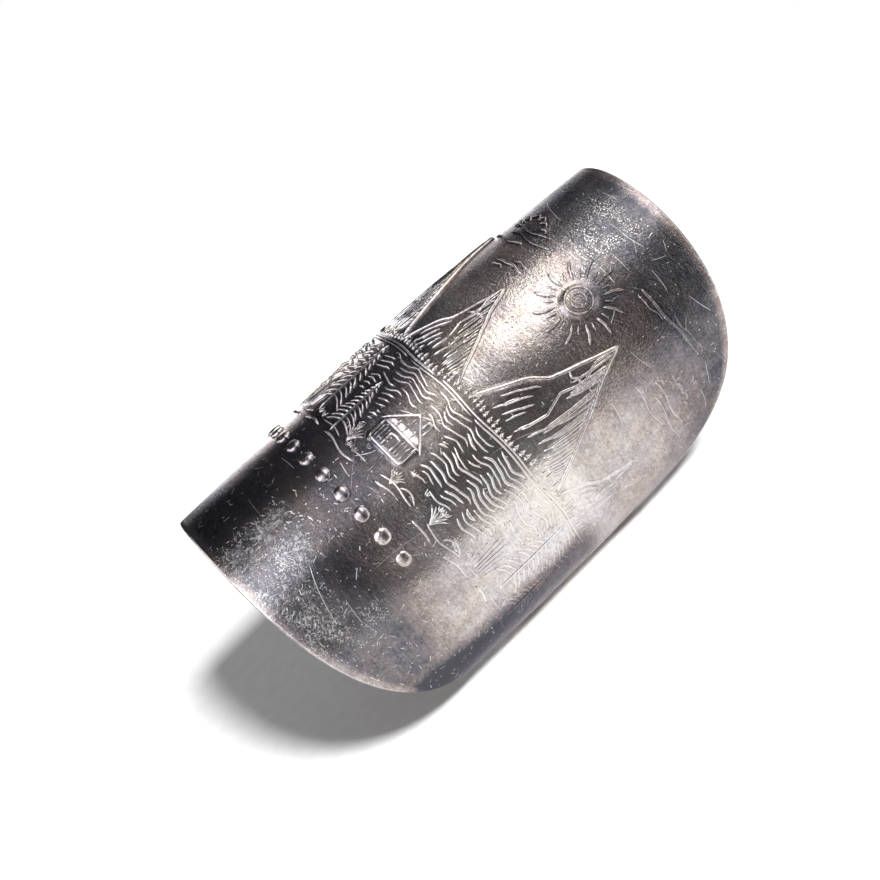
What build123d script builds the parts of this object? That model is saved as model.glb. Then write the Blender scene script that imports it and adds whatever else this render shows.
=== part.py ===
from build123d import *
from math import asin, cos, degrees, pi, radians, sin
import os

# A spoon bowl wrapped round a finger, in millimetres.
# X is the ring's axis and Z points from the gap at the back up to the wide front.
# The ring stands on its two back ends, on the plane Z = 0, centred on the origin.

# Band
outer_diameter = 21.0        # outside, at mid-width
left_rim_drop = 0.4          # how much smaller the diameter is at the rim towards -X
right_rim_drop = 2.3         # the same at the rim towards +X
wall = 1.0
band_width = 36.9            # along the axis, at the front
end_gap = 7.5                # between the two ends, measured straight across
cut_tip = 1.45               # how much is cut off each tip of the oval
rim_rounding = 0.3
end_rounding = 0.2

# How the oval narrows from the front to its tips
oval_power = 3.53
left_fullness = 0.63
right_fullness = 0.73

# Raised picture
picture_end_margin = 6.8     # from the picture to each end, measured round the band
picture_left_margin = 11.2   # from the left rim to the foot of the picture
picture_right_margin = 4.2   # from the top of the picture to the right rim
line_width = 0.4
line_height = 0.26
sun_diameter = 2.4

# Raised row of beads
bead_row_margin = 8.9        # from the left rim to the middle of the row
bead_row_length = 27.0       # round the band
bead_spacing = 1.9
bead_diameter = 1.2

# Derived sizes
half_width = band_width / 2
middle_radius = outer_diameter / 2
end_angle = 180 - degrees(asin(end_gap / outer_diameter))
end_arc = radians(end_angle) * middle_radius
root_depth = 0.35 * wall     # how deep the raised work is set into the wall
picture_reach = end_arc - picture_end_margin
picture_foot = picture_left_margin - half_width
picture_height = band_width - picture_left_margin - picture_right_margin
taper = (left_rim_drop - right_rim_drop) / 2 / band_width
bow = (left_rim_drop + right_rim_drop) / 4 / half_width**2

# Sections of the oval, as shares of the way from the front to an end
OVAL_SECTIONS = (0.0, 0.2, 0.38, 0.54, 0.67, 0.78, 0.87, 0.94, 1.0)

# Each motif is drawn in patches that are narrow enough to lie flat on the band.
# A patch is a set of lines, and a line is a row of points (side, up),
# in shares of the motif's width and height, from the middle of its foot.
MOUNTAIN = (
    (((-0.50, 0.00), (-0.31, 0.36), (-0.185, 0.49)), ((-0.28, 0.24), (-0.22, 0.08))),
    (((-0.16, 0.55), (0.00, 1.00), (0.10, 0.76)), ((0.02, 0.72), (0.08, 0.40)), ((-0.11, 0.50), (-0.05, 0.20))),
    (((0.13, 0.70), (0.27, 0.46), (0.50, 0.00)), ((0.18, 0.46), (0.27, 0.14))),
)
PINE = (
    (
        ((0.0, 0.0), (0.0, 1.0)),
        ((-0.50, 0.14), (0.0, 0.42), (0.50, 0.14)),
        ((-0.38, 0.40), (0.0, 0.66), (0.38, 0.40)),
        ((-0.22, 0.64), (0.0, 0.86), (0.22, 0.64)),
    ),
)
CABIN = (
    (
        ((-0.42, 0.50), (-0.42, 0.0), (0.42, 0.0), (0.42, 0.50)),
        ((-0.55, 0.44), (0.0, 1.0), (0.55, 0.44)),
        ((-0.12, 0.0), (-0.12, 0.40), (0.14, 0.40), (0.14, 0.0)),
    ),
)
CLOUD = (
    (((-0.08, 0.0), (-0.50, 0.0), (-0.38, 0.65), (-0.12, 0.55)),),
    (((0.03, 0.80), (0.16, 1.00), (0.34, 0.70), (0.50, 0.0), (0.08, 0.0)),),
)
RIPPLE = ((((-0.5, 0.0), (-0.15, 0.6), (0.5, 0.1)),),)
REEDS = ((((0.0, 0.0), (0.12, 1.0)), ((-0.3, 0.0), (-0.42, 0.72)), ((0.3, 0.0), (0.5, 0.66))),)

# Where the motifs stand: motif, place (share of the picture's reach to either side),
# and then foot, width and height in shares of the picture's height
PLACED = (
    (MOUNTAIN, -0.80, 0.36, 0.28, 0.26),
    (MOUNTAIN, -0.49, 0.36, 0.335, 0.38),
    (MOUNTAIN, -0.13, 0.36, 0.38, 0.46),
    (MOUNTAIN, 0.20, 0.36, 0.29, 0.32),
    (MOUNTAIN, 0.58, 0.36, 0.40, 0.43),
    (MOUNTAIN, 0.90, 0.36, 0.25, 0.25),
    (PINE, -0.90, 0.08, 0.14, 0.25),
    (PINE, -0.36, 0.04, 0.14, 0.27),
    (PINE, -0.24, 0.01, 0.12, 0.21),
    (PINE, 0.03, 0.04, 0.14, 0.28),
    (PINE, 0.15, 0.01, 0.12, 0.21),
    (PINE, 0.88, 0.05, 0.14, 0.26),
    (PINE, 1.00, 0.02, 0.11, 0.19),
    (CABIN, -0.64, 0.07, 0.16, 0.15),
    (CABIN, 0.33, 0.07, 0.16, 0.15),
    (CLOUD, -0.68, 0.86, 0.18, 0.06),
    (CLOUD, 0.04, 0.90, 0.18, 0.06),
    (CLOUD, 0.84, 0.82, 0.18, 0.06),
    (REEDS, -0.06, 0.01, 0.07, 0.15),
    (REEDS, 0.77, 0.01, 0.07, 0.16),
    (RIPPLE, -0.49, 0.24, 0.13, 0.02),
    (RIPPLE, -0.46, 0.14, 0.13, 0.02),
    (RIPPLE, -0.13, 0.25, 0.13, 0.02),
    (RIPPLE, 0.50, 0.26, 0.13, 0.02),
    (RIPPLE, 0.64, 0.29, 0.13, 0.02),
    (RIPPLE, 0.77, 0.25, 0.13, 0.02),
    (RIPPLE, 0.56, 0.18, 0.13, 0.02),
    (RIPPLE, 0.69, 0.20, 0.13, 0.02),
    (RIPPLE, 0.50, 0.10, 0.13, 0.02),
    (RIPPLE, 0.63, 0.11, 0.13, 0.02),
)

# The sun: its place and height in the picture, and its rays in shares of its diameter
SUN_PLACE = 0.40
SUN_HEIGHT = 0.80
SUN_RAYS = 12
RAY_START = 0.83
RAY_LENGTH = 0.45


def radius_at(x):
    """Outer radius at a distance x along the axis from mid-width."""
    return middle_radius + taper * x - bow * x**2


def rim_reach(share, fullness):
    """Distance from mid-width to a rim, at a share of the way from the front to an end."""
    tip_share = share * end_arc / (end_arc + cut_tip)
    return half_width * (1 - tip_share**oval_power) ** fullness


def outward(angle):
    """Direction from the axis to the band, where 0 is the front and 90 the side towards -Y."""
    return Vector(0, -sin(radians(angle)), cos(radians(angle)))


def root_plane(around, x):
    """Plane that faces out of the band there, just inside the wall, with Y along the axis."""
    angle = degrees(around / middle_radius)
    out = outward(angle)
    along = Vector(1, 0, 0) + out * (taper - 2 * bow * x)
    sideways = outward(angle + 90)
    on_surface = Vector(x, 0, 0) + out * radius_at(x)
    return Plane(origin=on_surface, x_dir=sideways, z_dir=sideways.cross(along)).offset(-root_depth)


def in_picture(place, height):
    """Point of the picture as (around, x)."""
    return place * picture_reach, picture_foot + height * picture_height


def middle(values):
    return (min(values) + max(values)) / 2


def patch_faces(patch, around, x, width, height):
    """Outline of one patch of a motif whose foot is at (around, x)."""
    lines = [[(side * width, up * height) for side, up in line] for line in patch]
    side = middle([point[0] for line in lines for point in line])
    up = middle([point[1] for line in lines for point in line])
    with BuildSketch(root_plane(around + side, x + up)) as outline:
        for line in lines:
            with BuildLine():
                Polyline(*[(point[0] - side, point[1] - up) for point in line])
            trace(line_width=line_width)
    return outline.sketch.faces()


def picture_faces():
    faces = []
    for motif, place, foot, width, height in PLACED:
        around, x = in_picture(place, foot)
        for patch in motif:
            faces += patch_faces(patch, around, x, width * picture_height, height * picture_height)
    return faces


def sun_faces():
    around, x = in_picture(SUN_PLACE, SUN_HEIGHT)
    with BuildSketch(root_plane(around, x)) as disc:
        Circle(sun_diameter / 2)
    faces = disc.sketch.faces()
    for ray in range(SUN_RAYS):
        turn = 2 * pi * ray / SUN_RAYS
        out = (RAY_START + RAY_LENGTH / 2) * sun_diameter
        with BuildSketch(root_plane(around + out * cos(turn), x + out * sin(turn))) as bar:
            Rectangle(RAY_LENGTH * sun_diameter, line_width, rotation=degrees(turn))
        faces += bar.sketch.faces()
    return faces


def bead_planes():
    each_side = int(bead_row_length / 2 / bead_spacing)
    steps = range(-each_side, each_side + 1)
    return [root_plane(step * bead_spacing, bead_row_margin - half_width) for step in steps]


# The raised work, about the ring's own axis
with BuildPart() as raised_work:
    extrude(picture_faces() + sun_faces(), amount=root_depth + line_height, clean=False)
    with Locations(*bead_planes()):
        Sphere(bead_diameter / 2, arc_size1=0, align=(Align.CENTER, Align.CENTER, Align.MIN))

# The wall about the same axis: a bowed tube, cut to the oval by one closed loft
with BuildPart() as band:
    reach = half_width + wall
    with BuildSketch(Plane(origin=(0, 0, 0), x_dir=(1, 0, 0), z_dir=(0, 1, 0))):
        with BuildLine():
            outside = ThreePointArc((-reach, radius_at(-reach)), (0, middle_radius), (reach, radius_at(reach)))
            inside = ThreePointArc(
                (-reach, radius_at(-reach) - wall), (0, middle_radius - wall), (reach, radius_at(reach) - wall)
            )
            Line(outside @ 0, inside @ 0)
            Line(outside @ 1, inside @ 1)
        make_face()
    revolve(axis=Axis.X)

    shares = [-share for share in reversed(OVAL_SECTIONS[1:])] + list(OVAL_SECTIONS)
    for share in shares:
        out = outward(share * end_angle)
        left = rim_reach(abs(share), left_fullness)
        right = rim_reach(abs(share), right_fullness)
        with BuildSketch(Plane(origin=(0, 0, 0), x_dir=out, z_dir=out.cross(Vector(1, 0, 0)))):
            with Locations((middle_radius, (right - left) / 2)):
                Rectangle(middle_radius, left + right)
    loft(mode=Mode.INTERSECT)

    round_edges = [edge for face in band.faces().filter_by(GeomType.REVOLUTION) for edge in face.edges()]
    rims = [edge for edge in round_edges if edge.length > band_width]
    add(raised_work.part, clean=False)
    fillet(rims, radius=rim_rounding)
    ends = band.faces().filter_by(GeomType.PLANE).sort_by(Axis.Z)[:2]
    fillet(ends.edges(), radius=end_rounding)

# The finished ring, stood on its two back ends
with BuildPart() as spoon_ring:
    with Locations((0, 0, -band.part.bounding_box().min.Z)):
        add(band.part, clean=False)

spoon_ring.part.label = "spoon_ring"

os.makedirs("parts", exist_ok=True)
export_step(spoon_ring.part, "parts/spoon_ring.step")
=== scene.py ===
import math
import random

import bpy
import numpy as np
from mathutils import Matrix, Vector


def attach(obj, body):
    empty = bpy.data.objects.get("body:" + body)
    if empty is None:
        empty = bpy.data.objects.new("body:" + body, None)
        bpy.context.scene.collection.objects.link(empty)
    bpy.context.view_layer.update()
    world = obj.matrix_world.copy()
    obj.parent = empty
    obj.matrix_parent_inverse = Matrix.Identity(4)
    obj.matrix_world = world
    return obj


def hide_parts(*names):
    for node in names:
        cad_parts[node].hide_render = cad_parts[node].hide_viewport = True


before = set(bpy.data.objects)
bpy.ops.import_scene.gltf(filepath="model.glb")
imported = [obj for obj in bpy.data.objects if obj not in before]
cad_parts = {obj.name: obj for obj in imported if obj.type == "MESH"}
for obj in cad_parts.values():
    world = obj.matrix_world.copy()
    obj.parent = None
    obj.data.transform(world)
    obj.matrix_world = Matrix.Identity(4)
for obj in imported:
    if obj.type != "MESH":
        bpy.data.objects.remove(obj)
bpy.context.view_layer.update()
random.seed(7)
noise_rng = np.random.default_rng(11)

# Sizes of the ring in millimetres, as in the CAD model
MM = 0.001
outer_diameter = 21.0
left_rim_drop = 0.4
right_rim_drop = 2.3
wall = 1.0
band_width = 36.9
end_gap = 7.5
cut_tip = 1.45
rim_rounding = 0.18
end_rounding = 0.22
axis_height = 9.823          # the ring's axis above the surface it stands on
oval_power = 3.53
left_fullness = 0.63
right_fullness = 0.73
picture_end_margin = 6.8
picture_left_margin = 11.2
picture_right_margin = 4.2
bead_row_margin = 8.9
bead_row_length = 27.0
bead_spacing = 1.9
bead_diameter = 1.2
sun_diameter = 2.4

half_width = band_width / 2
middle_radius = outer_diameter / 2
end_angle = math.pi - math.asin(end_gap / outer_diameter)
end_arc = end_angle * middle_radius
taper = (left_rim_drop - right_rim_drop) / 2 / band_width
bow = (left_rim_drop + right_rim_drop) / 4 / half_width**2
reach = end_arc - picture_end_margin
foot = picture_left_margin - half_width
tall = band_width - picture_left_margin - picture_right_margin

# Grid of the wall: stations round the band, columns across it
STATIONS = 320
COLUMNS = 186
INNER_COLUMNS = 36
ROUNDING_STEPS = 6

# How worn the metal is: 0 is not at all, and above 1 is rubbed bright
WORN_ROUNDING = 1.4          # on the rounded rims
WORN_INSIDE = 0.3
WORN_TOP = 0.35              # on the tops of the lines and of the beads
RIM_RUB = (0.9, 0.3)         # distances from a rim where its wear starts and where it is full
INNER_WAVE_SHARE = 0.6       # how much of the outside's unevenness the inside has

# How far the motifs rise over the band, in millimetres
MOUNTAIN_RISE = 0.085
CABIN_RISE = 0.08
CLOUD_RISE = 0.06
SUN_RISE = 0.17


def radius_at(x):
    """Outer radius at a distance x along the axis from mid-width."""
    return middle_radius + taper * x - bow * x**2


def rim_reach(around, fullness):
    """Distance from mid-width to a rim, at a distance round the band from the front."""
    share = np.abs(around) / (end_arc + cut_tip)
    return half_width * (1 - share**oval_power) ** fullness


def to_space(around, x, radius):
    """Band coordinates in millimetres to the shared frame in metres."""
    angle = around / middle_radius
    return np.stack([x, -np.sin(angle) * radius, np.cos(angle) * radius + axis_height], axis=-1) * MM


def smooth_step(low, high, value):
    """0 at low, 1 at high and smooth between them. Low may be the larger."""
    share = np.clip((value - low) / (high - low), 0, 1)
    return share * share * (3 - 2 * share)


def in_picture(place, height):
    """Point of the picture as (around, x): place from -1 to 1 round the band, height from 0 to 1."""
    return place * reach, foot + height * tall


# Main motifs: place, then foot, width and height in shares of the picture's height
MOUNTAINS = (
    (-0.80, 0.36, 0.28, 0.26),
    (-0.49, 0.36, 0.335, 0.38),
    (-0.13, 0.36, 0.38, 0.46),
    (0.20, 0.36, 0.29, 0.32),
    (0.58, 0.36, 0.40, 0.43),
    (0.90, 0.36, 0.25, 0.25),
)
PINES = (
    (-0.90, 0.08, 0.14, 0.25),
    (-0.36, 0.04, 0.14, 0.27),
    (-0.24, 0.01, 0.12, 0.21),
    (0.03, 0.04, 0.14, 0.28),
    (0.15, 0.01, 0.12, 0.21),
    (0.88, 0.05, 0.14, 0.26),
    (1.00, 0.02, 0.11, 0.19),
)
CABINS = ((-0.64, 0.07, 0.16, 0.15), (0.33, 0.07, 0.16, 0.15))
CLOUDS = ((-0.68, 0.86, 0.18, 0.06), (0.04, 0.90, 0.18, 0.06), (0.84, 0.82, 0.18, 0.06))
REED_BEDS = ((-0.06, 0.01, 0.07, 0.15), (0.77, 0.01, 0.07, 0.16))
SUN = (0.40, 0.80)
SUN_RAYS = 24                # long and short ones in turn

# On the shore: place and height in the picture, and size in millimetres
ROCKS = ((-0.80, 0.015, 1.5), (-0.52, 0.02, 1.2), (-0.145, 0.02, 1.0), (0.475, 0.02, 1.3), (0.67, 0.015, 1.4))
FERNS = (
    (-0.73, 0.01, 1.3), (-0.47, 0.01, 1.5), (0.225, 0.01, 1.5), (0.415, 0.01, 1.2),
    (0.575, 0.01, 1.5), (0.735, 0.01, 1.2), (0.945, 0.01, 1.2),
)
TUFTS = 120

# Streaks of cloud: place and height in the picture, and length in millimetres
STREAKS = ((-0.36, 0.97, 6.4), (-0.24, 0.80, 3.4), (0.65, 0.965, 6.6), (-0.90, 0.68, 3.8), (0.13, 0.75, 3.2))
# The lines of one streak: share of its length, shift along it in lengths, shift up and width in millimetres
STREAK_LINES = ((1.0, 0.0, 0.0, 0.27), (0.55, 0.22, 0.45, 0.19), (0.40, -0.30, -0.42, 0.16))

# A mountain's outline, as (side, up)
RIDGE = (
    (-0.50, 0.0), (-0.31, 0.36), (-0.185, 0.49), (-0.16, 0.55), (0.0, 1.0),
    (0.10, 0.76), (0.13, 0.70), (0.27, 0.46), (0.50, 0.0),
)
RIDGE_SIDE = [point[0] for point in RIDGE]
RIDGE_UP = [point[1] for point in RIDGE]


class Motif:
    """A motif's own coordinates: side and up in shares of its width and height."""

    def __init__(self, row):
        place, self.foot, self.width, self.height = row[0], row[1], row[2] * tall, row[3] * tall
        self.around, self.x = in_picture(place, self.foot)

    def point(self, side, up):
        return self.around + side * self.width, self.x + up * self.height

    def shares(self, around, x):
        return (around - self.around) / self.width, (x - self.x) / self.height


# Pens: the width and height of each kind of line, in millimetres
RIDGE_PEN = (0.34, 0.19)
SPUR_PEN = (0.24, 0.15)
SLOPE_PEN = (0.19, 0.12)
SNOW_PEN = (0.20, 0.13)
SCREE_PEN = (0.17, 0.12)
TRUNK_PEN = (0.26, 0.20)
BRANCH_PEN = (0.23, 0.17)
CABIN_PEN = (0.26, 0.17)
PLANK_PEN = (0.13, 0.10)
SLAT_PEN = (0.15, 0.11)
SMOKE_PEN = (0.18, 0.14)
PATH_PEN = (0.16, 0.12)
PUFF_PEN = (0.24, 0.18)
REED_PEN = (0.15, 0.16)
LONG_RAY_PEN = (0.28, 0.19)
SHORT_RAY_PEN = (0.18, 0.16)
FAR_TRUNK_PEN = (0.20, 0.16)
FAR_BRANCH_PEN = (0.13, 0.12)
ROCK_PEN = (0.20, 0.15)
ROCK_SHADING_PEN = (0.13, 0.15)
FERN_PEN = (0.17, 0.15)
TUFT_PEN = (0.14, 0.12)

# Heights of the lines whose widths differ
SHADING_HEIGHT = 0.13
SUN_RING_HEIGHT = 0.1
WATERSIDE_HEIGHT = 0.15
CLOUD_HEIGHT = 0.16

SHADING_SPACING = 0.34       # between the shading lines of a mountain
SCREE_SPACING = 1.1          # between the short strokes at its foot
BROKEN_LINE_STEP = 0.16      # between the points of a line that is drawn in runs
DRAWN_STEP = 0.28            # between the sections of a finished line

# The side that is rubbed most: where the wear starts and is full, round the band, and what is lost there
RUBBED_SIDE = (8.0, 16.5)
MOST_WEAR = 0.80

# Strokes: (points as (around, x), width, height), all in millimetres
strokes = []


def wear(around):
    """How much of a line's height is left at a distance round the band."""
    return 1.0 - MOST_WEAR * float(smooth_step(*RUBBED_SIDE, around))


def stroke(points, pen):
    points = np.array(points, float)
    width, height = pen
    strokes.append((points, width, height * wear(points[:, 0].mean())))


def hidden(around, x, rows):
    """True where a point lies behind one of the motifs in the foreground."""
    for row in rows:
        m = Motif(row)
        side, up = m.shares(around, x)
        if -0.06 < up < 1.02:
            half = 0.62 if row in CABINS or row in REED_BEDS else 0.56 * (1 - up) + 0.10
            if abs(side) < half:
                return True
    return False


def broken_line(start, end, level, pen, rows, run, gap):
    """A line round the band at x = level(around) that stops behind the motifs in rows.
    It is in runs with gaps between them, each from its shortest to its longest length."""
    width, height = pen

    def finish(points):
        if len(points) > 3:
            stroke(points, (width * random.uniform(0.85, 1.15), height))

    around = start
    while around < end:
        length = random.uniform(*run)
        points = []
        spot = around
        while spot < min(around + length, end):
            x = level(spot)
            if hidden(spot, x, rows):
                finish(points)
                points = []
            else:
                points.append((spot, x))
            spot += BROKEN_LINE_STEP
        finish(points)
        around += length + random.uniform(*gap)


def draw_mountain(row):
    m = Motif(row)
    ridge = []
    for (side_a, up_a), (side_b, up_b) in zip(RIDGE, RIDGE[1:]):
        for share in (0, 0.34, 0.67):
            jolt = random.uniform(-0.012, 0.012) if share else 0
            ridge.append(m.point(side_a + (side_b - side_a) * share, up_a + (up_b - up_a) * share + jolt))
    ridge.append(m.point(*RIDGE[-1]))
    stroke(ridge, RIDGE_PEN)
    spur = [(0.0, 0.98), (-0.035, 0.80), (0.02, 0.64), (-0.05, 0.47), (0.0, 0.30), (-0.05, 0.10)]
    stroke([m.point(*point) for point in spur], SPUR_PEN)
    count = int(m.width / SHADING_SPACING)
    for line in range(count):
        side = 0.02 + 0.46 * line / count + random.uniform(-0.008, 0.008)
        top = np.interp(side, RIDGE_SIDE, RIDGE_UP) - 0.03
        drop = min(random.uniform(0.20, 0.50), top - 0.04)
        if drop > 0.08:
            steps = ((0.0, 0.0), (-0.02, drop / 2), (-0.055, drop))
            shade = [m.point(side + aside, top - down) for aside, down in steps]
            stroke(shade, (random.uniform(0.16, 0.22), SHADING_HEIGHT))
    for line in range(3):
        inward = 0.07 + 0.075 * line
        begin = random.uniform(0.10, 0.3)
        finish = begin + random.uniform(0.35, 0.5)
        slope = []
        for step in range(7):
            side = -0.5 + inward + (0.5 - inward) * (begin + (finish - begin) * step / 6)
            up = np.interp(side - inward, RIDGE_SIDE, RIDGE_UP) - 0.02 + random.uniform(-0.01, 0.01)
            slope.append(m.point(side, up))
        stroke(slope, SLOPE_PEN)
    snow = []
    for step in range(11):
        snow.append(m.point(-0.135 + 0.025 * step, 0.60 + 0.022 * math.sin(1.9 * step) + 0.006 * step))
    stroke(snow, SNOW_PEN)
    room = m.width / SCREE_SPACING
    for line in range(int(room)):
        side = -0.40 + 0.80 * line / room + random.uniform(-0.02, 0.02)
        up = random.uniform(0.05, 0.12)
        if up + 0.16 < np.interp(side, RIDGE_SIDE, RIDGE_UP):
            scree = [m.point(side, up), m.point(side + 0.02, up + 0.07), m.point(side + 0.055, up + 0.15)]
            stroke(scree, SCREE_PEN)


def draw_pine(row):
    m = Motif(row)
    stroke([m.point(0, -0.04), m.point(0.01, 0.5), m.point(0, 1.0)], TRUNK_PEN)
    tiers = 11
    for tier in range(tiers):
        share = tier / (tiers - 1)
        up = 0.20 + 0.74 * share
        spread = 0.50 * (1 - share) ** 0.8 + 0.07
        for way in (-1, 1):
            tip = way * spread * random.uniform(0.85, 1.1)
            droop = 0.13 * (1 - 0.6 * share) + random.uniform(-0.01, 0.02)
            middle = (tip * 0.55, up - droop * 0.35)
            stroke([m.point(0, up), m.point(*middle), m.point(tip, up - droop)], BRANCH_PEN)


def draw_cabin(row):
    m = Motif(row)
    for line in (
        ((-0.42, 0.50), (-0.42, 0.0), (0.42, 0.0), (0.42, 0.50)),
        ((-0.57, 0.42), (0.0, 1.0), (0.57, 0.42)),
        ((-0.12, 0.0), (-0.12, 0.36), (0.10, 0.36), (0.10, 0.0)),
        ((-0.50, 0.47), (0.50, 0.47)),
        ((0.22, 0.80), (0.22, 1.02), (0.32, 1.02), (0.32, 0.70)),
    ):
        stroke([m.point(*point) for point in line], CABIN_PEN)
    for side in (-0.35, -0.27, -0.19, 0.18, 0.26, 0.34):
        stroke([m.point(side, 0.05), m.point(side, 0.42)], PLANK_PEN)
    for slat in range(5):
        side = -0.40 + 0.20 * slat
        top = 0.97 - abs(side) * 0.98
        stroke([m.point(side * 0.98, top - 0.06), m.point(side * 0.9, 0.50)], SLAT_PEN)
    smoke = [m.point(0.27 + 0.09 * math.sin(step * 0.9), 1.10 + 0.09 * step) for step in range(9)]
    stroke(smoke, SMOKE_PEN)
    for door, end in ((-0.09, -0.34), (0.07, 0.10)):
        path = [m.point(door + (end - door) * (step / 5) ** 1.6, -0.05 - 0.09 * step) for step in range(6)]
        stroke(path, PATH_PEN)


def draw_cloud(row):
    """Small overlapping puffs over long flat lines."""
    m = Motif(row)
    puffs = (
        (-0.44, -0.10, 0.09), (-0.29, 0.18, 0.12), (-0.10, 0.42, 0.15),
        (0.12, 0.46, 0.13), (0.29, 0.22, 0.12), (0.44, -0.06, 0.09),
    )
    for side, up, size in puffs:
        arc = []
        for step in range(9):
            turn = math.radians(175 - 155 * step / 8)
            arc.append((
                m.around + (side + size * math.cos(turn)) * m.width,
                m.x + up * m.height + size * m.width * 0.8 * math.sin(turn),
            ))
        stroke(arc, PUFF_PEN)
    flat_lines = ((-0.25, -0.62, 0.66, 0.24), (-0.75, -0.40, 0.95, 0.17), (-1.25, -0.85, 0.30, 0.17))
    for lift, left, right, width in flat_lines:
        line = []
        for step in range(7):
            line.append(m.point(left + (right - left) * step / 6, lift + 0.12 * math.sin(step * 1.3)))
        stroke(line, (width, CLOUD_HEIGHT))


def draw_reeds(row):
    m = Motif(row)
    blades = 8
    for blade in range(blades):
        share = blade / (blades - 1) - 0.5
        lean = share * random.uniform(0.7, 1.1)
        low = random.uniform(0.0, 0.10)
        up = 1.0 - 0.9 * abs(share) + random.uniform(-0.08, 0.08)
        middle = m.point(share + lean * 0.2, up * 0.5)
        stroke([m.point(share * 0.95, low), middle, m.point(share + lean * 0.7, up)], REED_PEN)


def draw_sun():
    around, x = in_picture(*SUN)

    def at(turn, share):
        return around + share * sun_diameter * math.cos(turn), x + share * sun_diameter * math.sin(turn)

    for share, width in ((0.40, 0.2), (0.22, 0.16)):
        ring = [at(2 * math.pi * step / SUN_RAYS, share) for step in range(SUN_RAYS + 1)]
        stroke(ring, (width, SUN_RING_HEIGHT))
    for ray in range(SUN_RAYS):
        turn = 2 * math.pi * ray / SUN_RAYS
        if ray % 2 == 0:
            stroke([at(turn, 0.66), at(turn + 0.05, 1.0), at(turn, 1.30)], LONG_RAY_PEN)
        else:
            stroke([at(turn, 0.68), at(turn, 0.98)], SHORT_RAY_PEN)


FOREGROUND = CABINS + PINES + REED_BEDS


def draw_lake():
    x = foot + 0.085 * tall
    drift = 0.0
    while x < foot + 0.325 * tall:
        drift += random.uniform(-0.1, 0.6)
        swell = random.uniform(0.12, 0.19)
        own = random.uniform(0, 6.28)

        def level(around, x=x, drift=drift, swell=swell, own=own):
            crest = math.sin(2 * math.pi * around / 2.6 + 1.1 * math.sin(0.9 * x) + drift)
            ripple = math.sin(2 * math.pi * around / 1.1 + own)
            return x + swell * crest + 0.04 * ripple + 0.05 * math.sin(around * 0.55 + own)

        pen = (random.uniform(0.17, 0.27), random.uniform(0.14, 0.20))
        broken_line(-reach * 1.04, reach * 1.03, level, pen, FOREGROUND, (0.9, 4.6), (0.15, 0.75))
        x += random.uniform(0.34, 0.45)


def draw_treeline():
    around = -reach * 1.03
    while around < reach * 1.03:
        x = foot + (0.345 + 0.008 * math.sin(around * 0.9)) * tall
        up = random.uniform(0.45, 1.05)
        stroke([(around, x), (around + random.uniform(-0.05, 0.05), x + up)], FAR_TRUNK_PEN)
        for share in (0.35, 0.65):
            for aside in (-0.15, 0.15):
                stroke([(around + aside, x + up * share - 0.12), (around, x + up * share)], FAR_BRANCH_PEN)
        around += random.uniform(0.34, 0.52)
    for lift, width in ((0.338, 0.22), (0.327, 0.15)):

        def level(around, lift=lift):
            return foot + lift * tall + 0.07 * math.sin(around * 1.1)

        pen = (width, WATERSIDE_HEIGHT)
        broken_line(-reach * 1.04, reach * 1.04, level, pen, FOREGROUND, (6.0, 14.0), (0.1, 0.5))


def draw_rock(around, x, size):
    """A low rock: an uneven outline, shaded on one side."""
    outline = (
        (-0.56, -0.02), (-0.44, 0.20), (-0.22, 0.34), (0.04, 0.38), (0.28, 0.26), (0.46, 0.10), (0.58, -0.03),
    )
    shading = (((0.12, 0.24), (0.10, 0.08)), ((0.23, 0.18), (0.21, 0.05)), ((0.34, 0.12), (0.32, 0.03)))
    for line in (outline, *shading):
        pen = ROCK_PEN if line is outline else ROCK_SHADING_PEN
        stroke([(around + side * size, x + up * size * 0.8) for side, up in line], pen)


def draw_fern(around, x, size):
    """A fan of long leaves."""
    for blade in range(7):
        lean = (blade - 3) / 3
        points = []
        for step in range(6):
            share = step / 5
            aside = lean * size * 0.55 * share**1.4
            up = size * share * (1 - 0.30 * abs(lean) * share)
            points.append((around + aside, x + up))
        stroke(points, FERN_PEN)


def draw_shore():
    for lift, width in ((-0.012, 0.24), (0.012, 0.17)):

        def level(around, lift=lift):
            swell = 0.16 * math.sin(around * 0.8)
            return foot + lift * tall + swell + 0.09 * math.sin(around * 2.1 + 40 * lift)

        pen = (width, WATERSIDE_HEIGHT)
        broken_line(-reach * 1.06, reach * 1.06, level, pen, (), (1.4, 4.2), (0.5, 1.8))
    for place, height, size in ROCKS:
        draw_rock(*in_picture(place, height), size)
    for place, height, size in FERNS:
        draw_fern(*in_picture(place, height), size)
    for _ in range(TUFTS):
        around = random.uniform(-reach, reach)
        x = foot + random.uniform(0.0, 0.085) * tall
        if not hidden(around, x, FOREGROUND):
            for blade in (-1, 0, 1):
                tip = (around + blade * 0.22, x + random.uniform(0.3, 0.5))
                stroke([(around + blade * 0.05, x), tip], TUFT_PEN)


def draw_sky():
    """Long thin streaks of cloud, each with shorter ones beside it."""
    for place, height, length in STREAKS:
        around, x = in_picture(place, height)
        for size, aside, lift, width in STREAK_LINES:
            points = []
            for step in range(15):
                share = step / 14 - 0.5
                wave = 0.10 * math.sin(5 * share + 9 * place + lift) + 0.05 * math.sin(14 * share + 5 * lift)
                points.append((around + (share * size + aside) * length, x + lift + wave))
            stroke(points, (width, CLOUD_HEIGHT))


def draw_picture():
    draw_lake()
    draw_treeline()
    draw_shore()
    draw_sky()
    draw_sun()
    for rows, draw in (
        (MOUNTAINS, draw_mountain), (PINES, draw_pine), (CABINS, draw_cabin),
        (CLOUDS, draw_cloud), (REED_BEDS, draw_reeds),
    ):
        for row in rows:
            draw(row)


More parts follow.
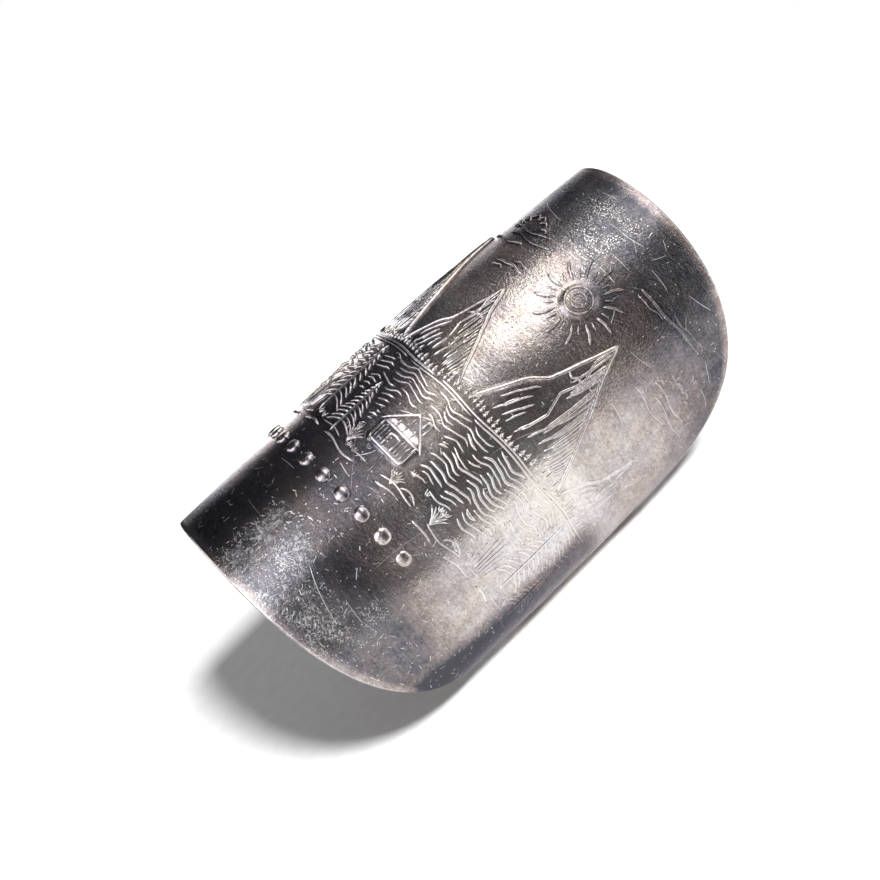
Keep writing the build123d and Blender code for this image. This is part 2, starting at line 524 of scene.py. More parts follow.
# Soft unevenness of hand-bent metal: waves of (wavelength, height), in millimetres
WAVES = ((14.0, 0.035), (9.0, 0.022), (6.0, 0.012), (3.4, 0.005), (2.2, 0.0026))
WAVE_COPIES = 4
# Each wave as (height, pitch, direction, phase)
wave_list = [
    (height, 2 * math.pi / length, noise_rng.uniform(0, 2 * math.pi), noise_rng.uniform(0, 2 * math.pi))
    for length, height in WAVES
    for _ in range(WAVE_COPIES)
]


def soft_wave(around, x):
    """Height of the unevenness alone."""
    height = np.zeros(np.broadcast(around, x).shape)
    for size, pitch, turn, phase in wave_list:
        height = height + size / 2 * np.sin(pitch * (around * math.cos(turn) + x * math.sin(turn)) + phase)
    return height


def soft_height(around, x):
    """Height of the metal over the plain bowed band, without the fine lines."""
    height = soft_wave(around, x)
    raised = np.zeros_like(height)
    for row in MOUNTAINS:
        m = Motif(row)
        side, up = m.shares(around, x)
        top = np.interp(side, RIDGE_SIDE, RIDGE_UP, left=0, right=0)
        inside = smooth_step(-0.03, 0.05, top - up) * smooth_step(-0.10, 0.25, up)
        raised = np.maximum(raised, MOUNTAIN_RISE * inside * (top > 0))
    for row in CABINS:
        side, up = Motif(row).shares(around, x)
        inside = smooth_step(0.50, 0.40, np.abs(side)) * smooth_step(-0.06, 0.04, up)
        inside = inside * smooth_step(0.62, 0.5, up)
        raised = np.maximum(raised, CABIN_RISE * inside)
    for row in CLOUDS:
        side, up = Motif(row).shares(around, x)
        from_middle = (side / 0.5) ** 2 + ((up - 0.35) / 0.9) ** 2
        raised = np.maximum(raised, CLOUD_RISE * smooth_step(1.0, 0.4, from_middle))
    sun_around, sun_x = in_picture(*SUN)
    from_sun = np.hypot(around - sun_around, x - sun_x)
    raised = np.maximum(raised, SUN_RISE * smooth_step(0.56 * sun_diameter, 0.42 * sun_diameter, from_sun))
    return height + raised


def new_mesh_object(name, points, faces, attributes):
    mesh = bpy.data.meshes.new(name)
    mesh.from_pydata([tuple(point) for point in points], [], faces)
    for key, values in attributes.items():
        layer = mesh.attributes.new(key, "FLOAT", "POINT")
        layer.data.foreach_set("value", np.asarray(values, np.float32))
    mesh.polygons.foreach_set("use_smooth", [True] * len(mesh.polygons))
    mesh.update()
    piece = bpy.data.objects.new(name, mesh)
    bpy.context.scene.collection.objects.link(piece)
    return piece


# Map of the places where lines are drawn: its cells in millimetres, how often it is blurred and its gain
BUSY_CELL = 0.15
BLUR_PASSES = 3
BUSY_GAIN = 1.8
SLOPE_STEP = 0.01            # the rims' slopes are measured over this distance


def busy_map():
    """How near the drawn lines lie, on a grid of cells round the band: 0 where bare, 1 where dense."""
    cell = BUSY_CELL
    rows, columns = int(2 * end_arc / cell) + 2, int(band_width / cell) + 2
    grid = np.zeros((rows, columns))
    for points, width, height in strokes:
        for start, end in zip(points, points[1:]):
            steps = max(2, int(np.hypot(*(end - start)) / cell) + 1)
            spots = start + (end - start) * np.linspace(0, 1, steps)[:, None]
            row = np.clip(((spots[:, 0] + end_arc) / cell).astype(int), 0, rows - 1)
            column = np.clip(((spots[:, 1] + half_width) / cell).astype(int), 0, columns - 1)
            grid[row, column] = 1
    for _ in range(BLUR_PASSES):
        for axis in (0, 1):
            grid = (np.roll(grid, 1, axis) + grid + np.roll(grid, -1, axis)) / 3
    return np.clip(grid * BUSY_GAIN, 0, 1)


def look_up(grid, around, x):
    row = np.clip(((around + end_arc) / BUSY_CELL).astype(int), 0, grid.shape[0] - 1)
    column = np.clip(((x + half_width) / BUSY_CELL).astype(int), 0, grid.shape[1] - 1)
    return grid[row, column]


def build_wall():
    """The wall as one closed mesh: loops of points across the band, one for each station round it."""
    cap = end_rounding * (1 - np.cos(np.linspace(0, math.pi / 2, ROUNDING_STEPS)))
    inner_stations = np.linspace(-end_arc + end_rounding, end_arc - end_rounding, STATIONS)
    around = np.concatenate([-end_arc + cap[:-1], inner_stations, end_arc - cap[:-1][::-1]])
    from_end = np.clip(end_arc - np.abs(around), 0, end_rounding)
    inset = end_rounding - np.sqrt(end_rounding**2 - (end_rounding - from_end) ** 2)
    loops, worn, recess, inner = [], [], [], []
    busy = busy_map()
    turns = np.linspace(0, math.pi / 2, ROUNDING_STEPS + 1)[1:]
    for place, sunk in zip(around, inset):
        inward = max(abs(place) - SLOPE_STEP, 0)
        left = rim_reach(place, left_fullness)
        right = rim_reach(place, right_fullness)
        left_slope = (rim_reach(inward, left_fullness) - left) / SLOPE_STEP
        right_slope = (rim_reach(inward, right_fullness) - right) / SLOPE_STEP
        left_round = rim_rounding * math.hypot(1, left_slope)
        right_round = rim_rounding * math.hypot(1, right_slope)
        left, right = left - sunk, right - sunk
        xs = np.linspace(-left + left_round, right - right_round, COLUMNS)
        outside = radius_at(xs) + soft_height(place, xs) - sunk
        near = look_up(busy, np.full_like(xs, place), xs)
        edge_near = np.minimum(xs + left, right - xs)
        rubbed = smooth_step(*RIM_RUB, edge_near)
        down = rim_rounding * (1 - np.cos(turns))
        right_xs = right - right_round + right_round * np.sin(turns)
        right_out = outside[-1] + radius_at(right_xs) - radius_at(xs[-1]) - down
        right_in = radius_at(right_xs) - wall + sunk + down
        left_xs = -left + left_round - left_round * np.sin(turns)
        left_out = outside[0] + radius_at(left_xs) - radius_at(xs[0]) - down
        left_in = radius_at(left_xs) - wall + sunk + down
        inner_xs = np.linspace(right - right_round, -left + left_round, INNER_COLUMNS)
        inside = radius_at(inner_xs) - wall + sunk + INNER_WAVE_SHARE * soft_wave(place, inner_xs)
        loop_x = np.concatenate([xs, right_xs, right_xs[::-1], inner_xs, left_xs, left_xs[::-1]])
        loop_r = np.concatenate([outside, right_out, right_in[::-1], inside, left_in, left_out[::-1]])
        loops.append(to_space(np.full_like(loop_x, place), loop_x, loop_r))
        rounds = np.full(2 * len(turns), WORN_ROUNDING)
        worn.append(np.concatenate([rubbed, rounds, np.full(INNER_COLUMNS, WORN_INSIDE), rounds]))
        recess.append(np.concatenate([near, 0 * rounds, np.zeros(INNER_COLUMNS), 0 * rounds]))
        inner.append(np.concatenate([0 * xs, 0 * rounds, np.ones(INNER_COLUMNS), 0 * rounds]))
    count = len(loops[0])
    faces = []
    for station in range(len(loops) - 1):
        a, b = station * count, (station + 1) * count
        faces += [(a + k, a + (k + 1) % count, b + (k + 1) % count, b + k) for k in range(count)]
    last = (len(loops) - 1) * count
    faces.append(tuple(range(count - 1, -1, -1)))
    faces.append(tuple(last + k for k in range(count)))
    return new_mesh_object(
        "ring_band", np.concatenate(loops), faces,
        {"worn": np.concatenate(worn), "recess": np.concatenate(recess), "inner": np.concatenate(inner)},
    )


# A line's section, from one foot over the top to the other: across in half widths, up in heights
SECTION = ((-1.0, -0.30), (-0.62, 0.62), (0.0, 1.0), (0.62, 0.62), (1.0, -0.30), (0.0, -0.75))


def resample(points, spacing):
    lengths = np.hypot(*(points[1:] - points[:-1]).T)
    along = np.concatenate([[0], np.cumsum(lengths)])
    steps = max(2, int(math.ceil(along[-1] / spacing)))
    spots = np.linspace(0, along[-1], steps + 1)
    return np.stack([np.interp(spots, along, points[:, k]) for k in (0, 1)], axis=1)


def build_lines():
    """Every drawn line as a low closed bar that follows the wall, joined in one mesh."""
    points, faces, worn, recess = [], [], [], []
    first = 0
    across = np.array([row[0] for row in SECTION])
    upward = np.array([row[1] for row in SECTION])
    for path, width, height in strokes:
        path = resample(path, DRAWN_STEP)
        ahead = np.gradient(path, axis=0)
        ahead /= np.linalg.norm(ahead, axis=1)[:, None]
        side = np.stack([-ahead[:, 1], ahead[:, 0]], axis=1)
        # A line narrows to a quarter at its ends
        share = np.linspace(0, 1, len(path))
        swell = np.clip(np.minimum(share, 1 - share) * len(path) * 0.75, 0.25, 1)
        half = width / 2 * swell[:, None] * across[None, :]
        around = path[:, 0:1] + side[:, 0:1] * half
        x = path[:, 1:2] + side[:, 1:2] * half
        lift = height * swell[:, None] * upward[None, :]
        radius = radius_at(x) + soft_height(around, x) + lift
        points.append(to_space(around, x, radius).reshape(-1, 3))
        worn.append(np.tile(WORN_TOP * (upward > 0.5), len(path)))
        recess.append(np.tile((upward < 0).astype(float), len(path)))
        count = len(SECTION)
        for k in range(len(path) - 1):
            a, b = first + k * count, first + (k + 1) * count
            faces += [(a + j, b + j, b + (j + 1) % count, a + (j + 1) % count) for j in range(count)]
        faces.append(tuple(first + j for j in range(count)))
        end = first + (len(path) - 1) * count
        faces.append(tuple(end + j for j in range(count - 1, -1, -1)))
        first += len(path) * count
    return new_mesh_object(
        "raised_lines", np.concatenate(points), faces,
        {"worn": np.concatenate(worn), "recess": np.concatenate(recess)},
    )


# A bead's outline from its foot to its top, as (share of the radius, share of the height)
BEAD_OUTLINE = (
    (1.0, -0.6), (1.0, 0.0), (0.96, 0.28), (0.86, 0.56), (0.70, 0.76), (0.48, 0.91), (0.25, 0.98),
)
BEAD_HEIGHT = 0.24
BEAD_SIDES = 28


def build_beads():
    points, faces, worn, recess = [], [], [], []
    sides = BEAD_SIDES
    each_side = int(bead_row_length / 2 / bead_spacing)
    x = bead_row_margin - half_width
    for step in range(-each_side, each_side + 1):
        around = step * bead_spacing + random.uniform(-0.05, 0.05)
        size = bead_diameter / 2 * random.uniform(0.90, 0.99)
        first = len(points)
        for out, up in BEAD_OUTLINE:
            for side in range(sides):
                turn = 2 * math.pi * side / sides
                a, b = around + size * out * math.cos(turn), x + size * out * math.sin(turn)
                level = radius_at(b) + float(soft_height(np.array(a), np.array(b))) + BEAD_HEIGHT * up
                points.append(to_space(np.array(a), np.array(b), level))
                worn.append(WORN_TOP if up > 0.5 else 0.0)
                recess.append(1.0 if up < 0.2 else 0.0)
        level = radius_at(x) + float(soft_height(np.array(around), np.array(x))) + BEAD_HEIGHT
        points.append(to_space(np.array(around), np.array(x), level))
        worn.append(WORN_TOP)
        recess.append(0.0)
        top = len(points) - 1
        for row in range(len(BEAD_OUTLINE) - 1):
            a, b = first + row * sides, first + (row + 1) * sides
            faces += [(a + k, a + (k + 1) % sides, b + (k + 1) % sides, b + k) for k in range(sides)]
        last = first + (len(BEAD_OUTLINE) - 1) * sides
        faces += [(last + k, last + (k + 1) % sides, top) for k in range(sides)]
        faces.append(tuple(first + k for k in range(sides - 1, -1, -1)))
    return new_mesh_object("bead_row", points, faces, {"worn": worn, "recess": recess})


class Shader:
    """A small helper that adds and joins nodes."""

    def __init__(self, tree):
        self.tree = tree
        tree.nodes.clear()

    def node(self, kind, inputs=None, **settings):
        made = self.tree.nodes.new(kind)
        for key, value in settings.items():
            setattr(made, key, value)
        for key, value in (inputs or {}).items():
            if isinstance(value, bpy.types.NodeSocket):
                self.tree.links.new(value, made.inputs[key])
            else:
                made.inputs[key].default_value = value
        return made

    def math(self, operation, a, b=0.0, clamp=False):
        return self.node("ShaderNodeMath", {0: a, 1: b}, operation=operation, use_clamp=clamp).outputs[0]

    def times(self, a, b):
        return self.math("MULTIPLY", a, b)

    def plus(self, a, b, clamp=False):
        return self.math("ADD", a, b, clamp)

    def minus(self, a, b):
        return self.math("SUBTRACT", a, b)

    def span(self, value, low, high, out_low=0.0, out_high=1.0, smooth=True):
        """Takes the value's way from low to high over to out_low and out_high. Low may be the larger."""
        made = self.node(
            "ShaderNodeMapRange",
            {"Value": value, "From Min": low, "From Max": high, "To Min": out_low, "To Max": out_high},
            interpolation_type="SMOOTHSTEP" if smooth else "LINEAR",
        )
        return made.outputs[0]

    def window(self, value, low_outer, low_inner, high_inner, high_outer):
        """1 between the two inner limits, and down to 0 at the outer ones."""
        return self.times(self.span(value, low_outer, low_inner), self.span(value, high_outer, high_inner))

    def vector_math(self, operation, a, b):
        return self.node("ShaderNodeVectorMath", {0: a, 1: b}, operation=operation).outputs[0]

    def noise(self, vector, scale, detail=3.0, roughness=0.5, distortion=0.0):
        settings = {"Detail": detail, "Roughness": roughness, "Distortion": distortion}
        made = self.node("ShaderNodeTexNoise", {"Vector": vector, "Scale": scale, **settings})
        return made.outputs["Fac"]

    def mix_colour(self, share, a, b, blend="MIX"):
        made = self.node("ShaderNodeMix", {0: share, 6: a, 7: b}, data_type="RGBA", blend_type=blend)
        return made.outputs[2]

    def ramp(self, value, stops):
        made = self.node("ShaderNodeValToRGB", {"Fac": value})
        made.color_ramp.interpolation = "EASE"
        points = made.color_ramp.elements
        while len(points) < len(stops):
            points.new(0.5)
        for point, (place, colour) in zip(points, stops):
            point.position = place
            point.color = colour
        return made.outputs[0]

    def profile(self, value, stops):
        """A curve through (value, share) points."""
        low, high = stops[0][0], stops[-1][0]
        place = self.math("DIVIDE", self.minus(value, low), high - low)
        greys = [((at - low) / (high - low), (share, share, share, 1)) for at, share in stops]
        return self.node("ShaderNodeSeparateColor", {0: self.ramp(place, greys)}).outputs[0]

    def attribute(self, name):
        return self.node("ShaderNodeAttribute", attribute_name=name).outputs["Fac"]


def band_vector(shader):
    """Millimetres round the band, along it and out of it, from the object's own coordinates.
    The sheet is the same laid flat, so that marks on it run on over the rims and the ends."""
    place = shader.node("ShaderNodeTexCoord").outputs["Object"]
    split = shader.node("ShaderNodeSeparateXYZ", {0: place})
    x = shader.times(split.outputs[0], 1 / MM)
    y = shader.times(split.outputs[1], -1 / MM)
    z = shader.minus(shader.times(split.outputs[2], 1 / MM), axis_height)
    angle = shader.math("ARCTAN2", y, z)
    around = shader.times(angle, middle_radius)
    squares = shader.plus(shader.times(y, y), shader.times(z, z))
    out = shader.math("SQRT", squares)
    vector = shader.node("ShaderNodeCombineXYZ", {0: around, 1: x, 2: out}).outputs[0]
    sheet = shader.node(
        "ShaderNodeCombineXYZ", {0: shader.plus(around, out), 1: shader.plus(x, out)}
    ).outputs[0]
    return vector, sheet, around, x


def scatter(s, vector, size, shift):
    """Cells of the given size on the vector, moved by the shift."""
    moved = s.vector_math("ADD", vector, (*shift, 0.0))
    cells = s.node(
        "ShaderNodeTexVoronoi", {"Vector": moved, "Scale": 1 / size, "Randomness": 1.0},
        voronoi_dimensions="2D",
    )
    return moved, cells


def scratch_layer(s, vector, size, length, width, share, bend, seed, spread):
    """Thin scratches, at most one to a cell of the given size, each with its own direction, bend and depth.
    share is how many of the cells have one, and spread is how much their directions differ."""
    moved, cells = scatter(s, vector, size, (seed, seed * 1.7))
    local = s.vector_math("SUBTRACT", moved, cells.outputs["Position"])
    chance = s.node("ShaderNodeSeparateColor", {0: cells.outputs["Color"]})
    angle = s.times(s.minus(chance.outputs[0], 0.5), spread)
    turned = s.node("ShaderNodeVectorRotate", {"Vector": local, "Angle": angle}, rotation_type="Z_AXIS")
    split = s.node("ShaderNodeSeparateXYZ", {0: turned.outputs[0]})
    curve = s.times(s.minus(chance.outputs[1], 0.5), bend)
    arch = s.times(s.times(split.outputs[0], split.outputs[0]), curve)
    across = s.math("ABSOLUTE", s.plus(split.outputs[1], arch))
    along = s.math("ABSOLUTE", split.outputs[0])
    line = s.times(s.span(across, width, width * 0.25), s.span(along, length / 2, length / 3))
    depth = s.math("DIVIDE", s.minus(share, chance.outputs[2]), share, clamp=True)
    return s.times(line, s.math("POWER", depth, 0.6))


def specks(s, vector, size, radius, share, seed):
    """Small round marks, at most one to a cell."""
    cells = scatter(s, vector, size, (seed, seed * 2.3))[1]
    chance = s.node("ShaderNodeSeparateColor", {0: cells.outputs["Color"]})
    kept = s.math("LESS_THAN", chance.outputs[0], share)
    return s.times(s.span(cells.outputs["Distance"], radius / size, 0.4 * radius / size), kept)


# How tarnished the band is across its width, as (distance from mid-width in millimetres, share)
TARNISH_ACROSS = (
    (-18.45, 0.88), (-15.5, 0.78), (-12.6, 0.76), (-11.2, 0.56), (-9.4, 0.36),
    (-7.0, 0.22), (-4.0, 0.14), (-1.0, 0.06), (1.2, 0.08), (4.0, 0.31),
    (7.0, 0.40), (9.5, 0.49), (12.0, 0.72), (14.0, 0.86), (18.45, 0.93),
)

# Colours of the metal from bright silver to the darkest tarnish, as (share, colour)
TARNISH_COLOURS = (
    (0.0, (0.76, 0.735, 0.715, 1)),
    (0.15, (0.625, 0.585, 0.555, 1)),
    (0.30, (0.505, 0.455, 0.430, 1)),
    (0.45, (0.385, 0.335, 0.322, 1)),
    (0.60, (0.280, 0.238, 0.236, 1)),
    (0.75, (0.189, 0.175, 0.181, 1)),
    (0.90, (0.121, 0.119, 0.130, 1)),
    (1.0, (0.080, 0.080, 0.091, 1)),
)
WARM_TINT = (1.02, 0.995, 0.965, 1)
COOL_TINT = (0.98, 0.99, 1.035, 1)
# Bluish tint of the painted shade on the front
PAINTED_SHADE_TINT = (0.95, 0.99, 1.06, 1)
BARE_SILVER = (0.90, 0.88, 0.86, 1)      # in scratches and rubbed places
DARK_SPECK = (0.07, 0.062, 0.07, 1)
GRAZING_TINT = (0.55, 0.54, 0.56, 1)     # of what is mirrored at a flat angle
BRUSH_SCALE = (0.5, 6.5, 0.5)            # draws a noise out round the band
ALL_WAYS = 2 * math.pi                   # the spread of scratches that run in every direction


def silver(name):
    """Old silver. Limits are in millimetres, round the band or along it."""
    material = bpy.data.materials.new(name)
    material.use_nodes = True
    s = Shader(material.node_tree)
    vector, sheet, around, x = band_vector(s)
    worn = s.attribute("worn")
    recess = s.attribute("recess")
    inner = s.attribute("inner")

    patches = s.noise(vector, 0.22, detail=5.0, roughness=0.6, distortion=0.4)
    mottle = s.noise(vector, 1.3, detail=5.0, roughness=0.62)
    grain = s.noise(vector, 5.0, detail=3.5, roughness=0.62)
    dust = s.noise(vector, 11.0, detail=2.0, roughness=0.6)
    brushed = s.noise(s.vector_math("MULTIPLY", vector, BRUSH_SCALE), 1.0, roughness=0.6, distortion=0.6)

    def swing(value, size):
        """The noise about zero, with the given size."""
        return s.times(s.minus(value, 0.5), size)

    # Tarnish gathers towards the rims, in the hollows of the drawing and in patches. Painted shade is added
    # near the back and on the front, and a painted highlight takes some away in a spot where the first lamp
    # is mirrored
    level = s.profile(x, TARNISH_ACROSS)
    # Painted shadow: a dark patch near the back, on the left half, stands in for the floor's shadow mirrored
    # in the underside
    back = s.window(around, 20.4, 22.6, 25.6, 26.9)
    back = s.times(back, s.span(s.plus(x, swing(patches, 3.0)), 2.6, -0.4))
    level = s.plus(level, s.times(back, 0.75))
    # Painted shade: a darker, bluer zone on the front stands in for the dark room mirrored there
    slanted = s.plus(around, s.times(x, 0.55))
    painted_shade_zone = s.times(s.span(around, -0.6, 0.9), s.span(slanted, 5.8, 3.8))
    painted_shade_zone = s.times(painted_shade_zone, s.window(x, -12.0, -9.0, 1.6, 3.6))
    level = s.plus(level, s.times(painted_shade_zone, 0.30))
    # Painted highlight: less tarnish in the spot where the first lamp is mirrored, so that the highlight
    # shows brighter
    painted_highlight_spot = s.times(s.window(around, 2.8, 5.2, 7.4, 9.2), s.span(x, 5.5, 8.5))
    level = s.minus(level, s.times(painted_highlight_spot, s.span(x, 13.0, 10.8, 0.0, 0.26)))
    level = s.plus(level, s.times(recess, s.span(around, 9.0, 17.0, 0.40, 0.04)))
    level = s.minus(level, s.times(worn, 0.42))
    level = s.times(level, s.span(inner, 0.0, 1.0, 1.0, 0.45, smooth=False))
    tarnish_and_painted_light = s.plus(level, s.plus(swing(patches, 0.55), swing(mottle, 0.50)))
    tarnish_and_painted_light = s.plus(tarnish_and_painted_light, s.plus(swing(grain, 0.62), swing(brushed, 0.32)))
    tarnish_and_painted_light = s.plus(tarnish_and_painted_light, swing(dust, 0.45), clamp=True)

    # Rubbed areas near the left rim and near the top, and scratches of several sizes, closer together there
    edge = s.noise(vector, 0.50, detail=5.0, roughness=0.7)
    rubbed_round = s.times(s.span(around, 17.0, 14.0), s.span(around, 2.6, 6.2))
    bay = s.window(around, 8.8, 10.4, 12.8, 14.4)
    moved_x = s.plus(x, s.times(bay, 2.4))
    near_rim = s.times(s.span(moved_x, -10.6, -14.2), rubbed_round)
    cloud = s.times(near_rim, s.span(edge, 0.34, 0.60))
    rubbed_top = s.times(s.window(x, 5.4, 8.4, 15.8, 17.8), s.span(edge, 0.34, 0.60))
    rubbed_top = s.times(rubbed_top, s.span(around, 1.6, 3.4))
    rubbed_top = s.times(rubbed_top, s.span(around, 9.2, 7.4))
    tarnish_and_painted_light = s.plus(tarnish_and_painted_light, s.times(rubbed_top, 0.14), clamp=True)
    few = s.plus(s.times(cloud, 0.48), s.span(x, -8.0, -5.5, 0.08, 0.015))
    right = s.span(x, 5.0, 11.0)
    # Cell size, length, width, share of the cells, bend, seed and spread
    layers = (
        (5.5, 5.0, 0.026, 0.40, 0.10, 3.1, ALL_WAYS),
        (2.4, 2.2, 0.024, s.plus(s.times(right, 0.45), 0.06), 0.15, 71.5, 0.50),
        (1.3, 1.1, 0.025, s.plus(few, s.times(right, 0.15)), 0.5, 31.9, 2.4),
        (0.60, 0.55, 0.028, few, 1.2, 61.4, ALL_WAYS),
        (0.38, 0.32, 0.030, few, 2.0, 47.2, ALL_WAYS),
        (0.24, 0.16, 0.036, s.times(cloud, 0.75), 3.0, 94.1, ALL_WAYS),
        (0.55, 0.50, 0.026, s.times(rubbed_top, 0.85), 0.8, 52.7, 1.0),
    )
    lines = scratch_layer(s, sheet, *layers[0])
    for layer in layers[1:]:
        lines = s.math("MAXIMUM", lines, scratch_layer(s, sheet, *layer))
    bright_specks = specks(s, sheet, 0.75, 0.055, 0.35, 5.7)
    dark_specks = specks(s, sheet, 0.9, 0.065, 0.35, 12.9)

    colour = s.ramp(tarnish_and_painted_light, TARNISH_COLOURS)
    hue = s.span(s.noise(vector, 0.42, detail=3.0), 0.36, 0.64)
    tint = s.mix_colour(hue, WARM_TINT, COOL_TINT)
    # The painted shade on the front is also tinted bluer
    tint = s.mix_colour(painted_shade_zone, tint, PAINTED_SHADE_TINT)
    colour = s.mix_colour(1.0, colour, tint, blend="MULTIPLY")
    rubbed = s.math("MAXIMUM", s.times(lines, 0.85), s.times(bright_specks, 0.8))
    patchy = s.times(s.span(grain, 0.50, 0.60), s.span(mottle, 0.42, 0.60))
    rubbed = s.math("MAXIMUM", rubbed, s.times(s.times(cloud, patchy), 0.80))
    sparkle = s.times(s.span(dust, 0.56, 0.64), s.math("MAXIMUM", cloud, rubbed_top))
    rubbed = s.math("MAXIMUM", rubbed, s.times(sparkle, 0.90))
    colour = s.mix_colour(rubbed, colour, BARE_SILVER)
    colour = s.mix_colour(s.times(dark_specks, 0.6), colour, DARK_SPECK)

    rough = s.plus(s.times(tarnish_and_painted_light, 0.05), 0.180)
    rough = s.plus(rough, swing(mottle, 0.10))
    rough = s.plus(rough, s.times(cloud, 0.10))
    rough = s.plus(rough, s.times(lines, 0.12))
    rough = s.plus(rough, s.span(x, 3.0, 9.0, 0.0, -0.035))

    # Fine relief, in millimetres
    relief = s.times(mottle, 0.012)
    coarse = s.plus(s.times(s.math("MAXIMUM", s.span(x, 1.5, 6.5), cloud), 0.65), 0.4)
    relief = s.plus(relief, s.times(s.times(grain, coarse), 0.0250))
    relief = s.plus(relief, s.times(s.times(dust, coarse), 0.0150))
    relief = s.plus(relief, s.times(brushed, 0.0040))
    relief = s.minus(relief, s.times(lines, 0.0060))
    all_specks = s.plus(bright_specks, dark_specks)
    relief = s.minus(relief, s.times(all_specks, 0.005))
    relief = s.minus(relief, s.times(s.times(cloud, grain), 0.036))
    bump = s.node("ShaderNodeBump", {"Strength": 1.0, "Distance": MM, "Height": relief})

    surface = s.node(
        "ShaderNodeBsdfPrincipled",
        {"Base Color": colour, "Metallic": 1.0, "Roughness": rough, "Normal": bump.outputs[0]},
    )
    surface.inputs["Specular Tint"].default_value = GRAZING_TINT
    s.node("ShaderNodeOutputMaterial", {"Surface": surface.outputs[0]})
    return material


# What the metal mirrors, as brightness of each colour
DARK_FRONT = (0.069, 0.069, 0.071, 1)
DARK_BACK = (0.052, 0.055, 0.064, 1)
LIFTED_FRONT = (0.26, 0.255, 0.26, 1)
LIFTED_BACK = (0.58, 0.57, 0.57, 1)
LOW_FRONT = (0.20, 0.20, 0.20, 1)
LEFT_FILL = (1.0, 1.0, 1.05, 1)
SIDE_PANELS = (1.7, 1.7, 1.7, 1)
ROOM_ENDS = (0.40, 0.40, 0.41, 1)
BACK_WALL = (4.4, 4.4, 4.4, 1)
OVERHEAD = (0.26, 0.26, 0.265, 1)
SECOND_LAMP = (3.9, 4.0, 4.3, 1)
FIRST_LAMP = (10.6, 10.3, 10.0, 1)

# How bright the lamps are across the room, as (share of the direction along X, share)
FIRST_LAMP_ACROSS = (
    (0.10, 0.0), (0.155, 0.030), (0.19, 0.040), (0.22, 0.040), (0.27, 0.06), (0.30, 0.22),
    (0.33, 0.68), (0.36, 1.0), (0.39, 0.52), (0.44, 0.16), (0.60, 0.13),
)
SECOND_LAMP_ACROSS = ((-0.20, 1.0), (-0.14, 0.92), (-0.11, 0.50), (-0.07, 0.20), (-0.03, 0.07), (0.02, 0.0))

# What lights the floor, and what the camera sees past it
ROOM_LIGHT = (0.30, 0.30, 0.305, 1)
PALE = (1.0, 1.0, 1.0, 1)


def build_world():
    """Plain studio: a soft lamp overhead, a weaker one beside it, a pale wall behind, dark elsewhere."""
    world = bpy.data.worlds.new("studio")
    bpy.context.scene.world = world
    world.use_nodes = True
    s = Shader(world.node_tree)
    way = s.node("ShaderNodeTexCoord").outputs["Generated"]
    split = s.node("ShaderNodeSeparateXYZ", {0: way})
    dx, dy, dz = split.outputs[0], split.outputs[1], split.outputs[2]

    # turn is the direction's angle from straight up towards the front
    turn = s.math("ARCTAN2", s.times(dy, -1.0), dz)

    def degrees_band(*limits):
        return s.window(turn, *[math.radians(limit) for limit in limits])

    side = s.math("MAXIMUM", s.span(dx, 0.52, 0.66), s.span(dx, -0.42, -0.58))
    at_ends = s.span(s.math("ABSOLUTE", dx), 0.78, 0.93)
    wall_low = s.span(dz, 0.34, -0.02)
    wall_sides = s.window(dx, -0.05, 0.04, 0.21, 0.33)
    back_wall = s.times(s.times(wall_low, s.span(dy, 0.0, 0.35)), wall_sides)
    to_back = s.span(dy, 0.15, 0.60)
    dark = s.mix_colour(to_back, DARK_FRONT, DARK_BACK)
    lifted = s.mix_colour(s.span(dy, -0.05, 0.12), LIFTED_FRONT, LIFTED_BACK)
    lift = s.times(s.span(dx, 0.16, 0.42), s.span(dz, 0.25, 0.55))
    mirrored = s.mix_colour(lift, dark, lifted)
    mirrored = s.mix_colour(s.span(turn, math.radians(68), math.radians(88)), mirrored, LOW_FRONT)
    left_fill = s.times(s.span(dx, -0.06, -0.14), degrees_band(36, 54, 96, 108))
    mirrored = s.mix_colour(left_fill, mirrored, LEFT_FILL)
    mirrored = s.mix_colour(side, mirrored, SIDE_PANELS)
    mirrored = s.mix_colour(at_ends, mirrored, ROOM_ENDS)
    mirrored = s.mix_colour(back_wall, mirrored, BACK_WALL)
    mirrored = s.mix_colour(degrees_band(6, 24, 36, 50), mirrored, OVERHEAD)
    second = s.times(s.profile(dx, SECOND_LAMP_ACROSS), degrees_band(-4, 14, 30, 46))
    mirrored = s.mix_colour(second, mirrored, SECOND_LAMP)
    first = s.profile(dx, FIRST_LAMP_ACROSS)
    slant = s.plus(turn, s.times(s.math("MINIMUM", dx, 0.34), 0.9))
    above = s.span(slant, math.radians(-4), math.radians(12))
    above = s.times(above, s.span(turn, math.radians(34), math.radians(23)))
    mirrored = s.mix_colour(s.times(first, above), mirrored, FIRST_LAMP)
    rays = s.node("ShaderNodeLightPath")
    colour = s.mix_colour(rays.outputs["Is Glossy Ray"], ROOM_LIGHT, mirrored)
    colour = s.mix_colour(rays.outputs["Is Camera Ray"], colour, PALE)
    background = s.node("ShaderNodeBackground", {"Color": colour, "Strength": 1.0})
    s.node("ShaderNodeOutputWorld", {"Surface": background.outputs[0]})


FLOOR_RADIUS = 0.068         # in metres
FLOOR_SIDES = 96


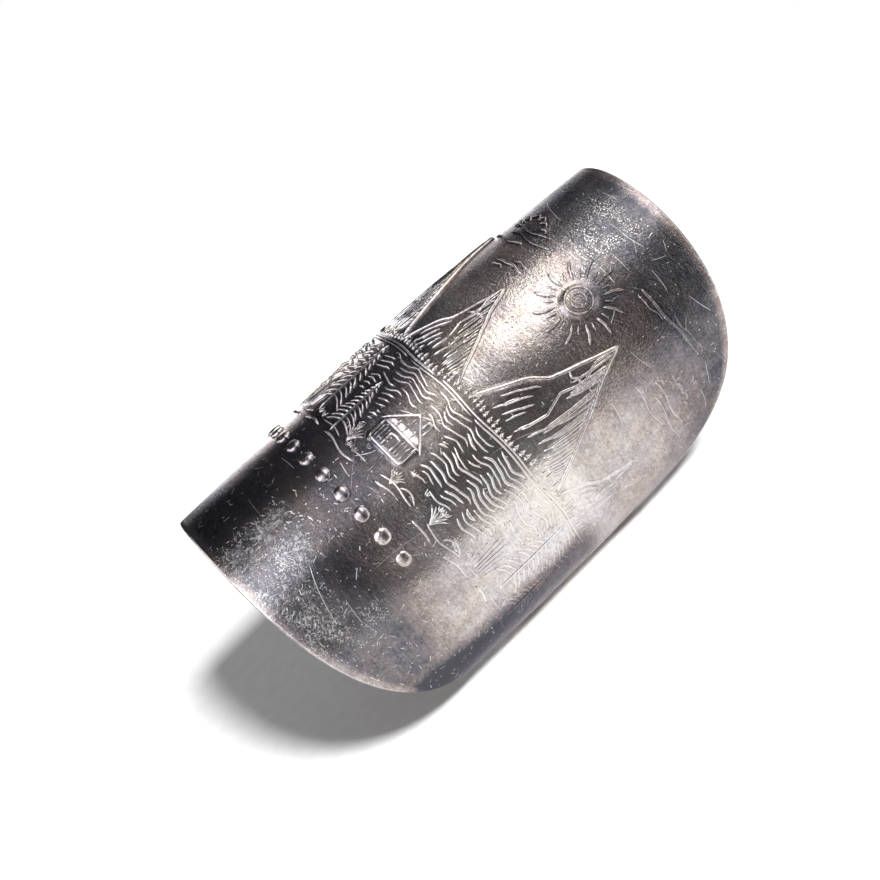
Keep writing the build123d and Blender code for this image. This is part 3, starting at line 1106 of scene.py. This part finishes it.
def build_floor():
    mesh = bpy.data.meshes.new("floor")
    rim = []
    for side in range(FLOOR_SIDES):
        turn = 2 * math.pi * side / FLOOR_SIDES
        rim.append((FLOOR_RADIUS * math.cos(turn), FLOOR_RADIUS * math.sin(turn), 0))
    mesh.from_pydata(rim, [], [tuple(range(FLOOR_SIDES))])
    floor = bpy.data.objects.new("floor", mesh)
    bpy.context.scene.collection.objects.link(floor)
    material = bpy.data.materials.new("pale_floor")
    material.use_nodes = True
    s = Shader(material.node_tree)
    place = s.node("ShaderNodeTexCoord").outputs["Object"]
    fibre = s.noise(place, 900.0, detail=3.0)
    colour = s.ramp(fibre, ((0.3, (0.80, 0.80, 0.80, 1)), (0.7, (0.84, 0.84, 0.84, 1))))
    surface = s.node("ShaderNodeBsdfPrincipled", {"Base Color": colour, "Roughness": 0.9})
    surface.inputs["Specular IOR Level"].default_value = 0.1
    s.node("ShaderNodeOutputMaterial", {"Surface": surface.outputs[0]})
    mesh.materials.append(material)


# The lamp that casts the shadow: its strength, how wide it looks in degrees, and where it is
KEY_STRENGTH = 6.0
KEY_WIDTH = 9
TOWARDS_KEY = Vector((0.46, -1.10, 1.0))


def build_lights():
    sun = bpy.data.lights.new("key", "SUN")
    sun.energy = KEY_STRENGTH
    sun.angle = math.radians(KEY_WIDTH)
    lamp = bpy.data.objects.new("key", sun)
    lamp.rotation_mode = "QUATERNION"
    lamp.rotation_quaternion = TOWARDS_KEY.normalized().to_track_quat("Z", "Y")
    lamp.visible_glossy = False
    bpy.context.scene.collection.objects.link(lamp)


# The camera: where its right and its back point in the shared frame, and its distance from the middle of
# the ring's axis in millimetres. In pixels: the picture's side, the focal length and where its axis is.
CAMERA_RIGHT = Vector((0.7202, -0.3850, -0.5771))
CAMERA_BACK = Vector((-0.1185, -0.8879, 0.4444))
camera_distance = 120.0
picture_size = 880
focal_pixels = 1740
centre_pixel = (481.3, 448.3)


def build_camera():
    data = bpy.data.cameras.new("camera")
    data.sensor_width = 36.0
    data.lens = focal_pixels / picture_size * data.sensor_width
    data.shift_x = 0.5 - centre_pixel[0] / picture_size
    data.shift_y = centre_pixel[1] / picture_size - 0.5
    data.clip_start, data.clip_end = 0.005, 10.0
    camera = bpy.data.objects.new("camera", data)
    back = CAMERA_BACK.normalized()
    right = (CAMERA_RIGHT - back * CAMERA_RIGHT.dot(back)).normalized()
    up = back.cross(right)
    place = Vector((0, 0, axis_height)) * MM + back * camera_distance * MM
    turn = Matrix((right, up, back)).transposed().to_4x4()
    camera.matrix_world = Matrix.Translation(place) @ turn
    bpy.context.scene.collection.objects.link(camera)
    bpy.context.scene.camera = camera


draw_picture()
metal = silver("tarnished_silver")
for piece in (build_wall(), build_lines(), build_beads()):
    piece.data.materials.append(metal)
    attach(piece, "root")
    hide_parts("spoon_ring")
build_world()
build_floor()
build_lights()
build_camera()
bpy.context.scene.view_settings.view_transform = "Standard"
